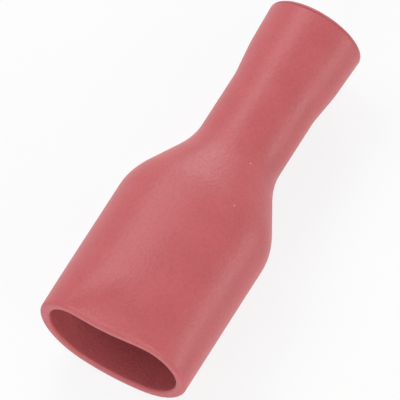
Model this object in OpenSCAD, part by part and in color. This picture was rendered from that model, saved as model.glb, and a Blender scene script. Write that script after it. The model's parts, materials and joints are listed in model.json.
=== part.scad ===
// Fully insulated female spade terminal: a soft moulded sleeve over a receptacle
// that is folded from one strip of tinned brass.
// X runs across the tab, Y from the mouth to the wire entry, and Z points up.
// It lies on a wide face, with its origin on that surface, under its middle.

/* [Tab and wire] */
// Width of the tab that it takes
tab_w = 6.3; // [5.8:0.1:6.8]
// Thickness of the tab that it takes
tab_t = 0.8; // [0.5:0.05:1]
// Diameter of the bare conductor
conductor_d = 1.6; // [1.2:0.05:2]
// Diameter over the wire's insulation
wire_d = 3.6; // [3.2:0.05:3.9]

/* [Receptacle] */
// Thickness of the brass strip
strip_t = 0.4; // [0.3:0.02:0.48]
// Play beside the tab, on each side
tab_play = 0.25; // [0.1:0.05:0.4]
// Room over the tab, under the rolled edges
tab_room = 0.04; // [0:0.02:0.1]
// Outer radius of each rolled edge
roll_r = 1.1; // [0.9:0.05:1.3]
// Outer radius of the bend between the floor and each side
bend_r = 1; // [0.7:0.05:1.2]
// Length of the rolled edges
roll_len = 7.6; // [6.5:0.1:8.5]
// Lead-in bevel at the front of the floor
floor_bevel = 0.2; // [0.1:0.02:0.28]
// Height of the detent dimple in the floor
dimple_h = 0.25; // [0.15:0.05:0.4]
// Radius of the detent dimple at the floor
dimple_r = 0.8; // [0.6:0.05:1]
// Distance of the detent dimple behind the front edge
dimple_y = 3.6; // [2.5:0.1:4.5]
// Half width of the strip at its waist, behind the rolled edges
waist_w = 1.9; // [1.6:0.05:2.3]
// Room between the conductor and the barrel, all round
conductor_room = 0.1; // [0.05:0.01:0.2]
// Length of the crimp barrel
barrel_len = 6; // [5.2:0.1:7]
// How far the barrel starts ahead of the shoulder's end
barrel_lead = 0.8; // [0.7:0.05:1.2]
// Width of the barrel's butt seam
seam_w = 0.12; // [0.08:0.02:0.2]
// Depth of the barrel's butt seam
seam_depth = 0.2; // [0.1:0.02:0.24]
// Bevel inside the barrel's rear end
barrel_bevel = 0.2; // [0.1:0.02:0.26]

/* [Sleeve] */
// Wall of the pocket
pocket_wall = 0.65; // [0.55:0.05:0.9]
// Room beside the receptacle, on each side
side_room = 0.35; // [0.15:0.05:0.5]
// Room above and below the receptacle
face_room = 1.43; // [1:0.01:1.7]
// Radius of the crown across each wide face
crown_r = 8.5; // [6.5:0.1:14]
// Distance of the receptacle's front edge behind the mouth
front_setback = 1.8; // [1:0.1:2.5]
// Length of the pocket behind the rolled edges
pocket_spare = 0.5; // [0.2:0.1:1.5]
// Length of the sloping shoulder
shoulder_len = 3.8; // [3:0.1:5]
// Half length of the soft bends at both ends of the shoulder
shoulder_ease = 1; // [0.6:0.05:1.3]
// Room between the barrel and the neck's bore, all round
barrel_room = 0.04; // [0.02:0.01:0.1]
// Wall of the neck
neck_wall = 1.32; // [1:0.01:1.6]
// Length of the tapered guide between the wire entry and the barrel
guide_len = 0.7; // [0.4:0.1:1.2]
// Room between the wire and the wire entry, all round
wire_room = 0.2; // [0.1:0.05:0.4]
// Wall at the start of the wire entry
entry_wall = 0.9; // [0.7:0.02:1.1]
// Length of the wire entry
entry_len = 3.8; // [3:0.1:5]
// Growth of the entry's outer radius towards its end
entry_taper = 0.12; // [0:0.01:0.3]
// Length of the step from the neck to the entry
step_len = 2; // [1.2:0.1:2.6]
// Radius of the outer edge at the mouth
lip_r = 0.2; // [0.1:0.02:0.35]
// Radius of the inner edge at the mouth
lip_inner_r = 0.16; // [0.06:0.02:0.25]
// How far the upper lip has settled
lip_drop = 0.8; // [0:0.05:1.2]
// Radius of the crown across the settled lip
lip_crown_r = 18; // [10:1:40]
// Depth of the shallow dip in the settled lip
dip_depth = 0.6; // [0:0.05:0.9]
// Distance of the dip from the lip's middle, towards the left
dip_shift = 0.7; // [0:0.05:0.9]
// Half width of the dip
dip_half = 3.8; // [2.5:0.1:3.9]
// Length of the settled part of the upper face
settled_len = 3.2; // [2:0.1:5]
// Radius of the outer edge at the wire entry
end_r = 0.2; // [0.1:0.02:0.3]
// Bevel inside the wire entry's edge
entry_bevel = 0.25; // [0.1:0.05:0.35]

/* [Hidden] */

$fn = 64;
// Facets round the sleeve, and how far, in degrees, the pocket's crowd towards its wide faces
SIDES = 64;
CROWDING = 14;
// Facets along the sleeve's bends, edges, settled lip and step
BEND_STEPS = 14;
EDGE_STEPS = 4;
SETTLED_STEPS = 6;
STEP_STEPS = 6;
// Facets across half of the folded strip, and along its throat
STRIP_STEPS = 12;
THROAT_STEPS = 18;
// How far a cut runs past the face that it opens
PAST = 1;
// How deep the throat's skin lies in the barrel's wall, and how far it runs into it
BURIED = 0.05;
LAP = 0.6;
// Smallest fold angle that the strip's arc is drawn with
FLAT = 0.0001;

// Receptacle
receptacle_w = tab_w + 2 * (tab_play + strip_t);
roll_z = strip_t + tab_t + tab_room + roll_r;
receptacle_h = roll_z + roll_r;
floor_half = receptacle_w / 2 - bend_r;
barrel_bore_r = conductor_d / 2 + conductor_room;
barrel_r = barrel_bore_r + strip_t;
// Angle through which each half of the strip has folded where it meets the barrel
fold_end = 176;
// Share of the throat at which the strip is narrowest
waist_at = 0.4;
// Radius of the ball whose cap stands dimple_h over the floor
dimple_ball_r = (dimple_r * dimple_r + dimple_h * dimple_h) / (2 * dimple_h);

// Sleeve outline across
pocket_w = receptacle_w + 2 * (side_room + pocket_wall);
pocket_t = receptacle_h + 2 * (face_room + pocket_wall);
seat_r = barrel_r + barrel_room;
neck_r = seat_r + neck_wall;
entry_bore_r = wire_d / 2 + wire_room;
entry_r = entry_bore_r + entry_wall;
// Radius of the hollow's tip, which ends inside the neck's bore
hollow_tip_r = 2 * seat_r / 3;
// Half length of the soft bends at both ends of the step
step_ease = step_len / 8;

// Stations along, measured from the mouth
roll_end = front_setback + roll_len;
shoulder_start = roll_end + pocket_spare;
shoulder_end = shoulder_start + shoulder_len;
barrel_start = shoulder_end - barrel_lead;
barrel_end = barrel_start + barrel_len;
entry_start = barrel_end + guide_len;
sleeve_len = entry_start + entry_len;
step_end = entry_start + step_len / 2;
bend_from = shoulder_start - shoulder_ease;
bend_to = shoulder_end + shoulder_ease;

// Centre of the barrel and the neck above the receptacle's floor
axis_over_floor = receptacle_h / 2;

// Area under a ramp that climbs from 0 at a to 1 at b
function ramp_area(y, a, b) =
    y <= a ? 0 : y < b ? pow(y - a, 2) / (2 * (b - a)) : y - (a + b) / 2;

// The same ramp, averaged over a window of half length r, so that its corners are soft
function eased(y, a, b, r) = (ramp_area(y + r, a, b) - ramp_area(y - r, a, b)) / (2 * r);

function mix(a, b, t) = a + (b - a) * t;
function clamp01(t) = min(max(t, 0), 1);

// Smooth climb from 0 to 1
function smooth(t) = let (c = clamp01(t)) c * c * (3 - 2 * c);

// Evenly spaced values from a to b
function steps(a, b, n) = [for (i = [0 : n]) mix(a, b, i / n)];

// Four-centre oval of half width a and half height b, given by the direction of its normal:
// its two wide faces are arcs of radius c, and its ends are arcs tangent to them
function oval_end_r(a, b, c) = (a * a + b * b - 2 * b * c) / (2 * (a - c));
function oval(a, b, c, q) =
    let (r = oval_end_r(a, b, c), crown = atan2(c - b, a - r))
    abs(sin(q)) > sin(crown)
        ? [c * cos(q), sign(sin(q)) * (b - c) + c * sin(q)]
        : [sign(cos(q)) * (a - r) + r * cos(q), r * sin(q)];

// How far the sleeve has turned from pocket to neck
function turned(y) = eased(y, shoulder_start, shoulder_end, shoulder_ease);

// Radius of the round part of the sleeve
function round_r(y) =
    neck_r
    + (entry_r - neck_r) * eased(y, step_end - step_len, step_end, step_ease)
    + entry_taper * clamp01((y - step_end) / (sleeve_len - step_end));

// Depth of the settled lip's dip across the mouth: a raised cosine
function dip(x) = dip_depth * pow(cos(90 * clamp01(abs(x + dip_shift) / dip_half)), 2);

// Pocket's outline at station y, given by the direction of its normal: near the mouth its
// upper half eases into the settled lip, a lower and flatter oval with the dip in it
function pocket_point(y, q) =
    let (
        full = oval(pocket_w / 2, pocket_t / 2, crown_r, q),
        lip = oval(pocket_w / 2, pocket_t / 2 - lip_drop, lip_crown_r, q),
        settled = pow(1 - clamp01(y / settled_len), 2)
    )
    sin(q) > 0 ? mix(full, [lip.x, lip.y - dip(lip.x)], settled) : full;

// One ring of the sleeve at station y, moved inwards by the given depth
function sleeve_ring(y, depth) = [
    for (i = [0 : SIDES - 1])
        let (
            even = 360 * i / SIDES,
            q = even + CROWDING * (1 - turned(y)) * sin(2 * even),
            normal = [cos(q), sin(q)],
            p = mix(pocket_point(y, q), round_r(y) * normal, turned(y)) - depth * normal
        )
        [p.x, y - sleeve_len / 2, p.y + pocket_t / 2]
];

// Depth of the hollow under the sleeve's outside: the pocket's wall, growing towards the neck
function hollow_depth(y) = mix(pocket_wall, neck_r - hollow_tip_r, turned(y));

// Skin of the sleeve as stations [y, depth]: from the wire entry along the outside to the
// mouth, round the lip, and back along the hollow to its tip
outside_stops = concat(
    steps(step_end + step_ease, step_end - step_len - step_ease, STEP_STEPS),
    steps(bend_to, bend_from, BEND_STEPS),
    steps(settled_len, lip_r, SETTLED_STEPS)
);
hollow_stops = concat(
    steps(lip_inner_r, settled_len, SETTLED_STEPS),
    steps(bend_from, bend_to, BEND_STEPS)
);
skin_path = concat(
    [for (q = steps(90, 0, EDGE_STEPS)) [sleeve_len - end_r * (1 - sin(q)), end_r * (1 - cos(q))]],
    [for (y = outside_stops) [y, 0]],
    [for (q = steps(0, 90, EDGE_STEPS)) if (q > 0) [lip_r * (1 - sin(q)), lip_r * (1 - cos(q))]],
    [
        for (q = steps(90, 0, EDGE_STEPS))
            if (q > 0) [lip_inner_r * (1 - sin(q)), pocket_wall - lip_inner_r * (1 - cos(q))]
    ],
    [for (y = hollow_stops) [y, hollow_depth(y)]]
);

// Cap over a ring of n points that starts at point b: a ladder of flat faces between its halves
function cap(b, n) = [for (j = [0 : n / 2 - 2]) [b + j, b + j + 1, b + n - 2 - j, b + n - 1 - j]];
function flipped(face) = [for (j = [len(face) - 1 : -1 : 0]) face[j]];

// Closed skin through a list of rings that all have the same even number of points
module loft(rings) {
    n = len(rings[0]);
    last = len(rings) - 1;
    polyhedron(
        points = [for (ring = rings) each ring],
        faces = concat(
            [for (face = cap(0, n)) flipped(face)],
            [
                for (i = [0 : last - 1], j = [0 : n - 1])
                    let (k = (j + 1) % n)
                    each [
                        [i * n + j, i * n + k, (i + 1) * n + k],
                        [i * n + j, (i + 1) * n + k, (i + 1) * n + j]
                    ]
            ],
            cap(last * n, n)
        )
    );
}

// Places a part that grows along Z so that it grows along Y, on the neck's centre line
module along_neck(y) {
    translate([0, y - sleeve_len / 2, pocket_t / 2])
        rotate([-90, 0, 0])
            children();
}

// Places a cross-section drawn over the receptacle's floor, and extrudes it from y to y + l
module along_floor(y, l) {
    translate([0, y + l - sleeve_len / 2, pocket_t / 2 - axis_over_floor])
        rotate([90, 0, 0])
            linear_extrude(height = l)
                children();
}

// Moves to the receptacle's floor at station y
module on_floor(y) {
    translate([0, y - sleeve_len / 2, pocket_t / 2 - axis_over_floor])
        children();
}

module insulation_sleeve() {
    seat_start = shoulder_start + shoulder_len / 3;
    color([0.79, 0.4, 0.41])
        difference() {
            loft([for (s = skin_path) sleeve_ring(s[0], s[1])]);
            // Seat that grips the barrel
            along_neck(seat_start)
                cylinder(r = seat_r, h = barrel_end - seat_start);
            // Guide that leads the strands into the barrel
            along_neck(barrel_end)
                cylinder(r1 = seat_r, r2 = entry_bore_r, h = guide_len);
            // Wire entry
            along_neck(entry_start)
                cylinder(r = entry_bore_r, h = entry_len + PAST);
            along_neck(sleeve_len - entry_bevel)
                cylinder(r1 = entry_bore_r, r2 = entry_bore_r + entry_bevel + PAST, h = entry_bevel + PAST);
        }
}

// Half width of the strip, measured along its fold, at the share s of the throat
function strip_half(s) = mix(
    mix(floor_half, waist_w, smooth(s / waist_at)),
    PI * (barrel_r - strip_t / 2) * fold_end / 180,
    smooth((s - waist_at) / (1 - waist_at))
);

// Fold angle of the strip's edge, from flat to almost closed
function fold(s) = fold_end * pow(s, 1.5);

// Cross-section of the strip over the floor at the share s of the throat: an arc whose
// length is the strip's width, with the strip's thickness on both sides of it
function strip_ring(y, s, t) =
    let (
        half = strip_half(s),
        bow = max(fold(s), FLAT),
        r = half * 180 / (PI * bow),
        lift = mix(0, axis_over_floor - barrel_r, smooth(s)) + strip_t / 2 + r,
        around = steps(bow, -bow, 2 * STRIP_STEPS)
    )
    [
        for (side = [[around, 1], [steps(-bow, bow, 2 * STRIP_STEPS), -1]])
            for (q = side[0])
                let (d = r - side[1] * t / 2)
                [d * sin(q), y - sleeve_len / 2, lift - d * cos(q) + pocket_t / 2 - axis_over_floor]
    ];

module folded_strip() {
    throat_len = barrel_start - roll_end;
    buried_t = strip_t - 2 * BURIED;
    loft(concat(
        [strip_ring(front_setback, 0, strip_t)],
        [
            for (s = steps(0, 1, THROAT_STEPS))
                strip_ring(roll_end + s * throat_len, s, s < 1 ? strip_t : buried_t)
        ],
        [strip_ring(barrel_start + LAP, 1, buried_t)]
    ));
}

// Cross-section of one side: the bend up from the floor, the side wall, and the edge rolled
// over until it presses on the tab
module rolled_side() {
    translate([floor_half, bend_r])
        intersection() {
            difference() {
                circle(r = bend_r);
                circle(r = bend_r - strip_t);
            }
            translate([0, -bend_r])
                square([bend_r, bend_r]);
        }
    translate([receptacle_w / 2 - strip_t, bend_r])
        square([strip_t, roll_z - bend_r]);
    translate([receptacle_w / 2 - roll_r, roll_z])
        difference() {
            circle(r = roll_r);
            circle(r = roll_r - strip_t);
            translate([0, -2 * roll_r])
                square([2 * roll_r, 2 * roll_r]);
        }
}

module receptacle() {
    color([0.8, 0.8, 0.78])
        difference() {
            union() {
                folded_strip();
                along_floor(front_setback, roll_len)
                    rolled_side();
                along_floor(front_setback, roll_len)
                    mirror([1, 0])
                        rolled_side();
                along_neck(barrel_start)
                    cylinder(r = barrel_r, h = barrel_len);
                // Detent dimple
                on_floor(front_setback + dimple_y)
                    intersection() {
                        translate([0, 0, strip_t + dimple_h - dimple_ball_r])
                            sphere(r = dimple_ball_r);
                        translate([-dimple_ball_r, -dimple_ball_r, strip_t / 2])
                            cube([2 * dimple_ball_r, 2 * dimple_ball_r, strip_t + dimple_h]);
                    }
            }
            // Dent under the dimple
            on_floor(front_setback + dimple_y)
                translate([0, 0, dimple_h - dimple_ball_r])
                    sphere(r = dimple_ball_r);
            // Lead-in bevel for the tab
            on_floor(front_setback)
                translate([0, 0, strip_t])
                    rotate([45, 0, 0])
                        cube([2 * floor_half, sqrt(2) * floor_bevel, sqrt(2) * floor_bevel], center = true);
            // Bore for the conductor
            along_neck(barrel_start - PAST)
                cylinder(r = barrel_bore_r, h = barrel_len + 2 * PAST);
            along_neck(barrel_end - barrel_bevel)
                cylinder(
                    r1 = barrel_bore_r,
                    r2 = barrel_bore_r + barrel_bevel + PAST,
                    h = barrel_bevel + PAST
                );
            // Butt seam
            along_neck(barrel_start)
                translate([-seam_w / 2, -barrel_r - PAST, -PAST])
                    cube([seam_w, PAST + seam_depth, barrel_len + 2 * PAST]);
        }
}

insulation_sleeve();
receptacle();
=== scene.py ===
import json
import bpy
import numpy as np
from mathutils import Matrix, Vector


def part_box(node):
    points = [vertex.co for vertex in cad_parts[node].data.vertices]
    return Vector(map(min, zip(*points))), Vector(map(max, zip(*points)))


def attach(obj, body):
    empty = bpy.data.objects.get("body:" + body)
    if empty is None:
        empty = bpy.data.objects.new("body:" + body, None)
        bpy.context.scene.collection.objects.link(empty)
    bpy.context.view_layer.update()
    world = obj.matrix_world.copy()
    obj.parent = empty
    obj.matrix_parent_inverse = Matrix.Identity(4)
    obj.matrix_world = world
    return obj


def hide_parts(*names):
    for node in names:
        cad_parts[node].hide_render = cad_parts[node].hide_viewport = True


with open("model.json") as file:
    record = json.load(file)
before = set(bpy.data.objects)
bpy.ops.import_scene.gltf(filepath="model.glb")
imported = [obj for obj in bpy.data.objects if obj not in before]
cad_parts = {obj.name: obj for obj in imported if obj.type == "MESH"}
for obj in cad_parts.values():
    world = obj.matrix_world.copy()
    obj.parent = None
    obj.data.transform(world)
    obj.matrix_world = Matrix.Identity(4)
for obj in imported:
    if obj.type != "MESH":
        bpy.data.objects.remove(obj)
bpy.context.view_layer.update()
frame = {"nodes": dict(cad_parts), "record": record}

# A female spade terminal: a soft vinyl sleeve over a receptacle of tinned brass. Shapes are
# worked out in millimetres, with the mouth at station 0 and the wire entry at the far end.
MM = 0.001

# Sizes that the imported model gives: the sleeve's box, and the round bores of its mounts
SLEEVE_LO, SLEEVE_HI = (np.array(corner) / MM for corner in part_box("insulation_sleeve"))
POCKET_W, SLEEVE_LEN, POCKET_T = SLEEVE_HI - SLEEVE_LO
AXIS_Z = POCKET_T / 2
MOUNTS = {mount["name"]: mount for mount in frame["record"]["mounts"]}
ENTRY_BORE_R = MOUNTS["wire_entry"]["dims"]["r_mm"]

# Sleeve: its walls, radii and stations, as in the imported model
POCKET_WALL = 0.65
CROWN_R = 8.5
NECK_R = 2.66
SEAT_R = 1.34
ENTRY_R = 2.9
ENTRY_TAPER = 0.12
ENTRY_BEVEL = 0.25
END_R = 0.2
LIP_R = 0.2
LIP_INNER_R = 0.16
LIP_DROP = 0.8
LIP_CROWN_R = 18
DIP_DEPTH = 0.6
DIP_SHIFT = 0.7
DIP_HALF = 3.8
SETTLED_LEN = 3.2
SHOULDER_START = 9.9
SHOULDER_END = 13.7
SHOULDER_EASE = 1.0
STEP_LEN = 2.0
BARREL_END = 18.9
ENTRY_START = 19.6
STEP_END = ENTRY_START + STEP_LEN / 2
HOLLOW_TIP_R = 2 * SEAT_R / 3

# Receptacle: the station of its front edge
FRONT_EDGE = 1.8

# Colours of the two materials, and the vinyl's grain and gloss, with a painted sheen colour for the
# grain's raised tops
VINYL_DEEP = (0.49, 0.095, 0.105, 1)
VINYL_PALE = (0.52, 0.104, 0.115, 1)
# painted highlight: a pale sheen colour that is painted onto the grain's raised tops
VINYL_PAINTED_SHEEN = (0.6, 0.17, 0.18, 1)
VINYL_SPECK = (0.8, 0.5, 0.48, 1)
VINYL_PITCH = 0.15
VINYL_ROUGH = (0.36, 0.44)
VINYL_BUMP = 1.0
VINYL_SPECULAR = 0.32
TIN_BRIGHT = (0.78, 0.77, 0.74, 1)
TIN_DULL = (0.62, 0.6, 0.57, 1)
BARE_BRASS = (0.72, 0.52, 0.22, 1)

# Soft lamps: name, direction from the terminal, distance, width, height, power and colour
LAMPS = (
    ("left_lamp", (-0.55, 0.2, 0.78), 300, 260, 120, 0.46, (1, 0.99, 1)),
    ("low_right_lamp", (0.96, 0.28, 0.04), 300, 200, 60, 0.37, (1, 0.97, 0.93)),
    ("right_lamp", (0.86, -0.25, 0.42), 300, 120, 120, 0.18, (1, 0.98, 0.95)),
    ("front_lamp", (0.0, -0.93, 0.35), 300, 260, 90, 0.44, (1, 1, 1)),
    ("back_lamp", (-0.31, 0.85, 0.43), 300, 150, 100, 0.35, (1, 1, 1)),
)
WORLD_LIGHT = 0.22
FLOOR_WHITE = 0.85

# Camera: the direction that it looks from, its distance, the width of what it sees, and how
# far it aims to the left of and below the middle of the axis, in shares of that width
CAMERA_TURN = 30.05
CAMERA_HEIGHT = 63.93
CAMERA_DISTANCE = 576.0
SENSOR_W = 36.0
VIEW_W = 22.91
AIM_LEFT = 0.03725
AIM_DOWN = 0.0245


# ---- camera, light and floor ----

def place_camera():
    """A long lens that looks down on the upper wide face, past the mouth."""
    turn, height = np.radians([CAMERA_TURN, CAMERA_HEIGHT])
    right = np.array([np.cos(turn), np.sin(turn), 0.0])
    back = np.array([np.sin(turn) * np.cos(height), -np.cos(turn) * np.cos(height), np.sin(height)])
    up = np.cross(back, right)
    aim = np.array([0.0, 0.0, AXIS_Z]) - VIEW_W * (AIM_LEFT * right + AIM_DOWN * up)
    lens = bpy.data.cameras.new("camera")
    lens.sensor_width = SENSOR_W
    lens.lens = SENSOR_W * CAMERA_DISTANCE / VIEW_W
    lens.clip_start = 0.01
    camera = bpy.data.objects.new("camera", lens)
    bpy.context.scene.collection.objects.link(camera)
    turned = Matrix(np.column_stack([right, up, back]).tolist()).to_4x4()
    camera.matrix_world = Matrix.Translation(Vector((aim + CAMERA_DISTANCE * back) * MM)) @ turned
    bpy.context.scene.camera = camera


def area_lamp(name, toward, distance, width, height, power, colour):
    """A soft lamp that stands in the given direction from the terminal and faces it."""
    shade = bpy.data.lights.new(name, "AREA")
    shade.shape = "RECTANGLE"
    shade.size = width * MM
    shade.size_y = height * MM
    shade.energy = power
    shade.color = colour
    lamp = bpy.data.objects.new(name, shade)
    bpy.context.scene.collection.objects.link(lamp)
    toward = Vector(toward).normalized()
    lamp.location = toward * distance * MM + Vector((0, 0, AXIS_Z * MM))
    lamp.rotation_euler = toward.to_track_quat("Z", "Y").to_euler()


# ---- materials ----

class Nodes:
    """Short calls for the node tree of one material or node group."""

    def __init__(self, tree):
        self.tree = tree

    def add(self, kind, **settings):
        """Adds a node of that kind. A setting gives a property of it, or the value or link of
        an input of that name."""
        node = self.tree.nodes.new(kind)
        inputs = {}
        for name, value in settings.items():
            if hasattr(node, name):
                setattr(node, name, value)
            else:
                inputs[name.replace("_", " ")] = value
        for name, value in inputs.items():
            self.put(node.inputs[name], value)
        return node

    def put(self, socket, value):
        """Gives an input a value or a link."""
        if isinstance(value, bpy.types.NodeSocket):
            self.tree.links.new(value, socket)
        else:
            socket.default_value = value

    def math(self, operation, first, second=0.0):
        """One sum of two values or links."""
        node = self.add("ShaderNodeMath", operation=operation)
        self.put(node.inputs[0], first)
        self.put(node.inputs[1], second)
        return node.outputs[0]

    def spread(self, value, low, high, to_low=0.0, to_high=1.0):
        """Maps low to high onto to_low to to_high, and stays within those."""
        node = self.add("ShaderNodeMapRange", interpolation_type="SMOOTHSTEP", Value=value)
        limits = {"From Min": low, "From Max": high, "To Min": to_low, "To Max": to_high}
        for name, limit in limits.items():
            node.inputs[name].default_value = limit
        return node.outputs["Result"]

    def blend(self, share, first, second):
        """A colour between two others."""
        node = self.add("ShaderNodeMix", data_type="RGBA")
        self.put(node.inputs["Factor"], share)
        self.put(node.inputs[6], first)
        self.put(node.inputs[7], second)
        return node.outputs[2]


def node_group(name, inputs, outputs):
    """A new shader node group: its node calls, its input and its output node."""
    tree = bpy.data.node_groups.new(name, "ShaderNodeTree")
    for label, value in inputs.items():
        socket = tree.interface.new_socket(label, in_out="INPUT", socket_type="NodeSocketFloat")
        socket.default_value = value
    for label in outputs:
        tree.interface.new_socket(label, in_out="OUTPUT", socket_type="NodeSocketFloat")
    nodes = Nodes(tree)
    return nodes, nodes.add("NodeGroupInput"), nodes.add("NodeGroupOutput")


def grain_group():
    """Fine uneven grain. Pitch is its size in millimetres, and Stretch is how much longer the
    grain is along Y. Height is the grain's relief, and Cloud a slow change 12 times as wide."""
    nodes, given, out = node_group("grain", {"Pitch": 0.15, "Stretch": 1.0}, ["Height", "Cloud"])
    where = nodes.add("ShaderNodeTexCoord").outputs["Object"]
    squeeze = nodes.add("ShaderNodeCombineXYZ", X=1.0, Z=1.0)
    nodes.put(squeeze.inputs["Y"], nodes.math("DIVIDE", 1.0, given.outputs["Stretch"]))
    across = nodes.add("ShaderNodeVectorMath", operation="MULTIPLY")
    nodes.put(across.inputs[0], where)
    nodes.put(across.inputs[1], squeeze.outputs[0])
    place = across.outputs[0]
    scale = nodes.math("DIVIDE", 1 / MM, given.outputs["Pitch"])
    ripple = nodes.add("ShaderNodeTexNoise", Vector=place, Scale=scale, Detail=2.0, Roughness=0.6)
    pores = nodes.add("ShaderNodeTexVoronoi", feature="SMOOTH_F1", Vector=place, Scale=scale)
    wide = nodes.math("DIVIDE", scale, 12.0)
    cloud = nodes.add("ShaderNodeTexNoise", Vector=place, Scale=wide, Detail=3.0, Roughness=0.55)
    pitted = nodes.math("MULTIPLY", pores.outputs["Distance"], 0.6)
    nodes.put(out.inputs["Height"], nodes.math("ADD", ripple.outputs["Fac"], pitted))
    nodes.put(out.inputs["Cloud"], cloud.outputs["Fac"])
    return nodes.tree


def specks_group():
    """Sparse round specks. Pitch is the grid that they are picked from, in millimetres, Share
    is how many of its cells hold one, and Size is a speck's radius against the pitch."""
    nodes, given, out = node_group("specks", {"Pitch": 0.5, "Share": 0.02, "Size": 0.1}, ["Mask"])
    where = nodes.add("ShaderNodeTexCoord").outputs["Object"]
    scale = nodes.math("DIVIDE", 1 / MM, given.outputs["Pitch"])
    cells = nodes.add("ShaderNodeTexVoronoi", Vector=where, Scale=scale)
    picked = nodes.add("ShaderNodeSeparateColor", Color=cells.outputs["Color"])
    chosen = nodes.math("LESS_THAN", picked.outputs[0], given.outputs["Share"])
    away = nodes.math("DIVIDE", cells.outputs["Distance"], given.outputs["Size"])
    soft = nodes.spread(nodes.math("SUBTRACT", 1.0, away), 0.0, 0.5)
    nodes.put(out.inputs["Mask"], nodes.math("MULTIPLY", chosen, soft))
    return nodes.tree


GRAIN = grain_group()
SPECKS = specks_group()


def material(name):
    """A new material: its node calls, its Principled shader and itself."""
    made = bpy.data.materials.new(name)
    made.use_nodes = True
    nodes = Nodes(made.node_tree)
    made.node_tree.nodes.clear()
    shader = nodes.add("ShaderNodeBsdfPrincipled")
    nodes.add("ShaderNodeOutputMaterial", Surface=shader.outputs["BSDF"])
    return nodes, shader, made


def sleeve_vinyl():
    """Soft red vinyl with a matt, leathery grain whose raised tops carry a painted sheen, slow changes of
    tint and a few pale specks.
    """
    nodes, shader, made = material("sleeve_vinyl")
    grain = nodes.add("ShaderNodeGroup", node_tree=GRAIN, Pitch=VINYL_PITCH)
    height, cloud = grain.outputs
    tint = nodes.blend(nodes.spread(cloud, 0.3, 0.7), VINYL_DEEP, VINYL_PALE)
    # painted sheen: the grain's raised tops are blended towards a pale sheen colour
    painted_sheen_grain = nodes.blend(nodes.spread(height, 0.45, 0.95, 0.0, 0.22), tint, VINYL_PAINTED_SHEEN)
    specks = nodes.add("ShaderNodeGroup", node_tree=SPECKS, Pitch=0.75, Share=0.028, Size=0.1)
    flecked = nodes.blend(nodes.math("MULTIPLY", specks.outputs[0], 0.5), painted_sheen_grain, VINYL_SPECK)
    nodes.put(shader.inputs["Base Color"], flecked)
    nodes.put(shader.inputs["Roughness"], nodes.spread(cloud, 0.2, 0.8, VINYL_ROUGH[0], VINYL_ROUGH[1]))
    bump = nodes.add("ShaderNodeBump", Strength=VINYL_BUMP, Distance=0.02 * MM, Height=height)
    nodes.put(shader.inputs["Normal"], bump.outputs[0])
    shader.inputs["Specular IOR Level"].default_value = VINYL_SPECULAR
    return made


def tinned_brass():
    """Bright tin plating over brass strip: fine rolling lines along it, dull cloudy patches,
    and the brass itself on the sheared front edges."""
    nodes, shader, made = material("tinned_brass")
    lines = nodes.add("ShaderNodeGroup", node_tree=GRAIN, Pitch=0.05, Stretch=14.0)
    patches = nodes.add("ShaderNodeGroup", node_tree=GRAIN, Pitch=0.12, Stretch=1.5)
    tin = nodes.blend(nodes.spread(patches.outputs["Cloud"], 0.35, 0.65), TIN_DULL, TIN_BRIGHT)
    at = nodes.add("ShaderNodeSeparateXYZ", Vector=nodes.add("ShaderNodeTexCoord").outputs["Object"])
    front = (FRONT_EDGE - SLEEVE_LEN / 2) * MM
    ragged = nodes.math("MULTIPLY", patches.outputs["Height"], 0.05 * MM)
    behind = nodes.math("SUBTRACT", at.outputs["Y"], ragged)
    bare = nodes.spread(behind, front - 0.02 * MM, front + 0.02 * MM, 0.85, 0.0)
    nodes.put(shader.inputs["Base Color"], nodes.blend(bare, tin, BARE_BRASS))
    shader.inputs["Metallic"].default_value = 1.0
    nodes.put(shader.inputs["Roughness"], nodes.spread(patches.outputs["Cloud"], 0.3, 0.7, 0.24, 0.42))
    bump = nodes.add("ShaderNodeBump", Strength=0.25, Distance=0.004 * MM, Height=lines.outputs["Height"])
    nodes.put(shader.inputs["Normal"], bump.outputs[0])
    return made


def seen_directly(nodes):
    """1 for rays from the camera and for those that metal or glass sends on, otherwise 0."""
    ray = nodes.add("ShaderNodeLightPath").outputs
    sent_on = nodes.math("MAXIMUM", ray["Is Glossy Ray"], ray["Is Transmission Ray"])
    return nodes.math("MAXIMUM", ray["Is Camera Ray"], sent_on)


def world_light():
    """Weak even light all round, which is seen as plain white."""
    world = bpy.data.worlds.new("studio")
    world.use_nodes = True
    bpy.context.scene.world = world
    world.node_tree.nodes.clear()
    nodes = Nodes(world.node_tree)
    strength = nodes.add("ShaderNodeMapRange", Value=seen_directly(nodes))
    strength.inputs["To Min"].default_value = WORLD_LIGHT
    background = nodes.add("ShaderNodeBackground", Color=(1, 1, 1, 1), Strength=strength.outputs[0])
    nodes.add("ShaderNodeOutputWorld", Surface=background.outputs[0])


def studio_floor():
    """A plain pale floor under the terminal, most of which is seen as plain white, so that
    only a faint shadow is left on it."""
    half = 0.6
    mesh = bpy.data.meshes.new("floor")
    corners = [(-half, -half, 0), (half, -half, 0), (half, half, 0), (-half, half, 0)]
    mesh.from_pydata(corners, [], [(0, 1, 2, 3)])
    floor = bpy.data.objects.new("floor", mesh)
    bpy.context.scene.collection.objects.link(floor)
    made = bpy.data.materials.new("floor")
    made.use_nodes = True
    made.node_tree.nodes.clear()
    nodes = Nodes(made.node_tree)
    pale = nodes.add("ShaderNodeBsdfDiffuse", Color=(0.86, 0.86, 0.86, 1))
    white = nodes.add("ShaderNodeEmission", Color=(1, 1, 1, 1), Strength=1.0)
    share = nodes.math("MULTIPLY", seen_directly(nodes), FLOOR_WHITE)
    shown = nodes.add("ShaderNodeMixShader", Fac=share)
    nodes.put(shown.inputs[1], pale.outputs[0])
    nodes.put(shown.inputs[2], white.outputs[0])
    nodes.add("ShaderNodeOutputMaterial", Surface=shown.outputs[0])
    mesh.materials.append(made)


# ---- shapes ----

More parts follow.
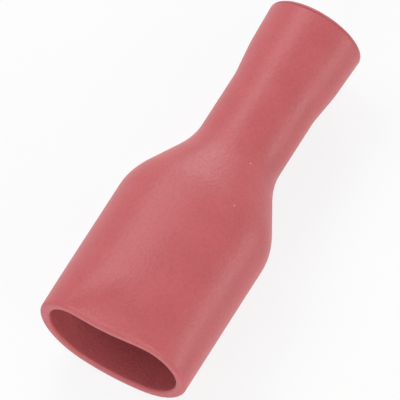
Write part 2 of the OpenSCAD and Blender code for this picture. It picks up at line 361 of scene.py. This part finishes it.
def grid_mesh(name, points, closed_along=False):
    """A mesh over a grid of points (along, around, xyz) in millimetres, closed around and,
    where asked, along too. Faces look outwards when the grid runs round each ring
    anticlockwise as seen from where the rings are heading."""
    rows, columns, _ = points.shape
    mesh = bpy.data.meshes.new(name)
    mesh.vertices.add(rows * columns)
    mesh.vertices.foreach_set("co", (points * MM).astype(np.float32).ravel())
    last = rows if closed_along else rows - 1
    row, column = np.meshgrid(np.arange(last), np.arange(columns), indexing="ij")
    next_row = (row + 1) % rows
    next_column = (column + 1) % columns
    corners = np.stack(
        [
            row * columns + column,
            next_row * columns + column,
            next_row * columns + next_column,
            row * columns + next_column,
        ],
        axis=-1,
    ).reshape(-1, 4)
    mesh.loops.add(corners.size)
    mesh.loops.foreach_set("vertex_index", corners.ravel().astype(np.int32))
    mesh.polygons.add(len(corners))
    mesh.polygons.foreach_set("loop_start", np.arange(0, corners.size, 4, dtype=np.int32))
    mesh.polygons.foreach_set("use_smooth", np.ones(len(corners), bool))
    mesh.update(calc_edges=True)
    mesh.validate()
    return mesh


def mix(a, b, t):
    """A value or a shape between a and b."""
    return a + (b - a) * t


def ramp_area(y, a, b):
    """The area up to y under a ramp that climbs from 0 at a to 1 at b."""
    return np.where(y <= a, 0.0, np.where(y < b, (y - a) ** 2 / (2 * (b - a)), y - (a + b) / 2))


def eased(y, a, b, r):
    """That ramp averaged over a window of half length r, which softens its two corners."""
    return (ramp_area(y + r, a, b) - ramp_area(y - r, a, b)) / (2 * r)


def oval(half_w, half_t, crown_r, q):
    """A four-centre oval, given by the direction q of its normal: its wide faces are arcs of
    radius crown_r, and its two ends are arcs tangent to them."""
    end_r = (half_w**2 + half_t**2 - 2 * half_t * crown_r) / (2 * (half_w - crown_r))
    crown = np.arctan2(crown_r - half_t, half_w - end_r)
    on_crown = np.abs(np.sin(q)) > np.sin(crown)
    end_x = np.sign(np.cos(q)) * (half_w - end_r)
    crown_z = np.sign(np.sin(q)) * (half_t - crown_r)
    x = np.where(on_crown, crown_r * np.cos(q), end_x + end_r * np.cos(q))
    z = np.where(on_crown, crown_z + crown_r * np.sin(q), end_r * np.sin(q))
    return x, z


def turned(y):
    """How far the sleeve has turned from oval pocket to round neck at station y."""
    return eased(y, SHOULDER_START, SHOULDER_END, SHOULDER_EASE)


def round_r(y):
    """The sleeve's round radius: the neck, the step up to the wire entry, and its taper."""
    step = eased(y, STEP_END - STEP_LEN, STEP_END, STEP_LEN / 8)
    taper = np.clip((y - STEP_END) / (SLEEVE_LEN - STEP_END), 0, 1)
    return NECK_R + (ENTRY_R - NECK_R) * step + ENTRY_TAPER * taper


def pocket_outline(y, q):
    """The pocket's oval at station y, given by the direction q of its normal. Near the mouth
    its upper half eases into the settled lip: a lower and flatter oval, less the raised
    cosine of a shallow dip to the left of its middle."""
    full_x, full_z = oval(POCKET_W / 2, POCKET_T / 2, CROWN_R, q)
    lip_x, lip_z = oval(POCKET_W / 2, POCKET_T / 2 - LIP_DROP, LIP_CROWN_R, q)
    from_dip = np.clip(np.abs(lip_x + DIP_SHIFT) / DIP_HALF, 0, 1)
    lip_z = lip_z - DIP_DEPTH * np.cos(from_dip * np.pi / 2) ** 2
    settled = np.where(np.sin(q) > 0, (1 - np.clip(y / SETTLED_LEN, 0, 1)) ** 2, 0.0)
    return mix(full_x, lip_x, settled), mix(full_z, lip_z, settled)


def sleeve_skin(y, depth, q):
    """The sleeve's skin over two parameters: a stop on the path through its wall, given as a
    station y and a depth under the outside, and the direction q of the normal. Each point is
    the mean of the pocket's oval and the neck's circle, weighted by how far the sleeve has
    turned, and moved inwards by the depth. Inside, the wall never comes nearer to the axis
    than the barrel's seat."""
    y, depth = y[:, None], depth[:, None]
    flat_x, flat_z = pocket_outline(y, q[None, :])
    x = mix(flat_x, round_r(y) * np.cos(q), turned(y)) - depth * np.cos(q)
    z = mix(flat_z, round_r(y) * np.sin(q), turned(y)) - depth * np.sin(q)
    away = np.hypot(x, z)
    push = np.where(depth > LIP_R, np.maximum(1, SEAT_R / away), 1)
    x, z = x * push, z * push + AXIS_Z
    return np.stack([x, np.broadcast_to(y - SLEEVE_LEN / 2, x.shape), z], axis=-1)


def quarter(start, end, n):
    """Angles for a rounded edge, without the first one."""
    return np.linspace(start, end, n + 1)[1:] * np.pi / 2


def sleeve_path():
    """The stops [station, depth] of the closed path through the sleeve's wall: from the wire
    entry along the outside to the mouth, round both edges of the lip, back along the hollow,
    and out through the barrel's seat, the guide and the wire entry's bore."""
    end_turn = quarter(1, 0, 8)
    end_edge = np.stack([SLEEVE_LEN - END_R * (1 - np.sin(end_turn)), END_R * (1 - np.cos(end_turn))], 1)
    outside = np.concatenate([
        np.linspace(SLEEVE_LEN - END_R, STEP_END + 0.3, 20),
        np.linspace(STEP_END + 0.25, STEP_END - STEP_LEN - 0.25, 36)[1:],
        np.linspace(STEP_END - STEP_LEN - 0.35, SHOULDER_END + SHOULDER_EASE, 24),
        np.linspace(SHOULDER_END + SHOULDER_EASE, SHOULDER_START - SHOULDER_EASE, 70)[1:],
        np.linspace(SHOULDER_START - SHOULDER_EASE, SETTLED_LEN, 26)[1:],
        np.linspace(SETTLED_LEN, LIP_R, 22)[1:],
    ])
    outside = np.stack([outside, np.zeros_like(outside)], 1)
    outer_turn = quarter(0, 1, 8)
    outer_lip = np.stack([LIP_R * (1 - np.sin(outer_turn)), LIP_R * (1 - np.cos(outer_turn))], 1)
    inner_turn = np.linspace(1, 0, 7) * np.pi / 2
    inner_lip = np.stack([
        LIP_INNER_R * (1 - np.sin(inner_turn)),
        POCKET_WALL - LIP_INNER_R * (1 - np.cos(inner_turn)),
    ], 1)
    hollow = np.concatenate([
        np.linspace(LIP_INNER_R, SETTLED_LEN, 22)[1:],
        np.linspace(SETTLED_LEN, SHOULDER_START - SHOULDER_EASE, 16)[1:],
        np.linspace(SHOULDER_START - SHOULDER_EASE, SHOULDER_END + SHOULDER_EASE, 44)[1:],
    ])
    depth = mix(POCKET_WALL, NECK_R - HOLLOW_TIP_R, turned(hollow))
    hollow = np.stack([hollow, depth], 1)
    seat = np.linspace(SHOULDER_END + SHOULDER_EASE + 0.2, BARREL_END, 10)
    seat = np.stack([seat, round_r(seat) - SEAT_R], 1)
    guide = np.linspace(BARREL_END + 0.05, ENTRY_START, 5)
    guide_bore = mix(SEAT_R, ENTRY_BORE_R, (guide - BARREL_END) / (ENTRY_START - BARREL_END))
    guide = np.stack([guide, round_r(guide) - guide_bore], 1)
    bore = np.linspace(ENTRY_START + 0.05, SLEEVE_LEN - ENTRY_BEVEL, 12)
    bore = np.stack([bore, round_r(bore) - ENTRY_BORE_R], 1)
    bevel = np.linspace(0.05, 1, 6) * ENTRY_BEVEL
    at = SLEEVE_LEN - ENTRY_BEVEL + bevel
    bevel = np.stack([at, round_r(at) - ENTRY_BORE_R - bevel], 1)
    return np.concatenate([end_edge, outside, outer_lip, inner_lip, hollow, seat, guide, bore, bevel])


def around_evenly(n):
    """Directions of the normal that step evenly along the pocket's outline."""
    q = np.linspace(0, 2 * np.pi, 20 * n)
    x, z = oval(POCKET_W / 2, POCKET_T / 2, CROWN_R, q)
    walked = np.concatenate([[0], np.cumsum(np.hypot(np.diff(x), np.diff(z)))])
    return np.interp(np.arange(n) / n * walked[-1], walked, q)


def insulation_sleeve():
    """The sleeve as one closed surface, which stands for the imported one."""
    path = sleeve_path()
    points = sleeve_skin(path[:, 0], path[:, 1], around_evenly(256))
    mesh = grid_mesh("sleeve", points, closed_along=True)
    mesh.materials.append(sleeve_vinyl())
    sleeve = bpy.data.objects.new("sleeve", mesh)
    bpy.context.scene.collection.objects.link(sleeve)
    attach(sleeve, "root")
    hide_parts("insulation_sleeve")


def dress_receptacle():
    """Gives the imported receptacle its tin."""
    made = tinned_brass()
    node = frame["nodes"]["receptacle"]
    node.data.materials.clear()
    node.data.materials.append(made)


place_camera()
world_light()
for lamp in LAMPS:
    area_lamp(*lamp)
studio_floor()
insulation_sleeve()
dress_receptacle()

scene = bpy.context.scene
scene.view_settings.view_transform = "Standard"
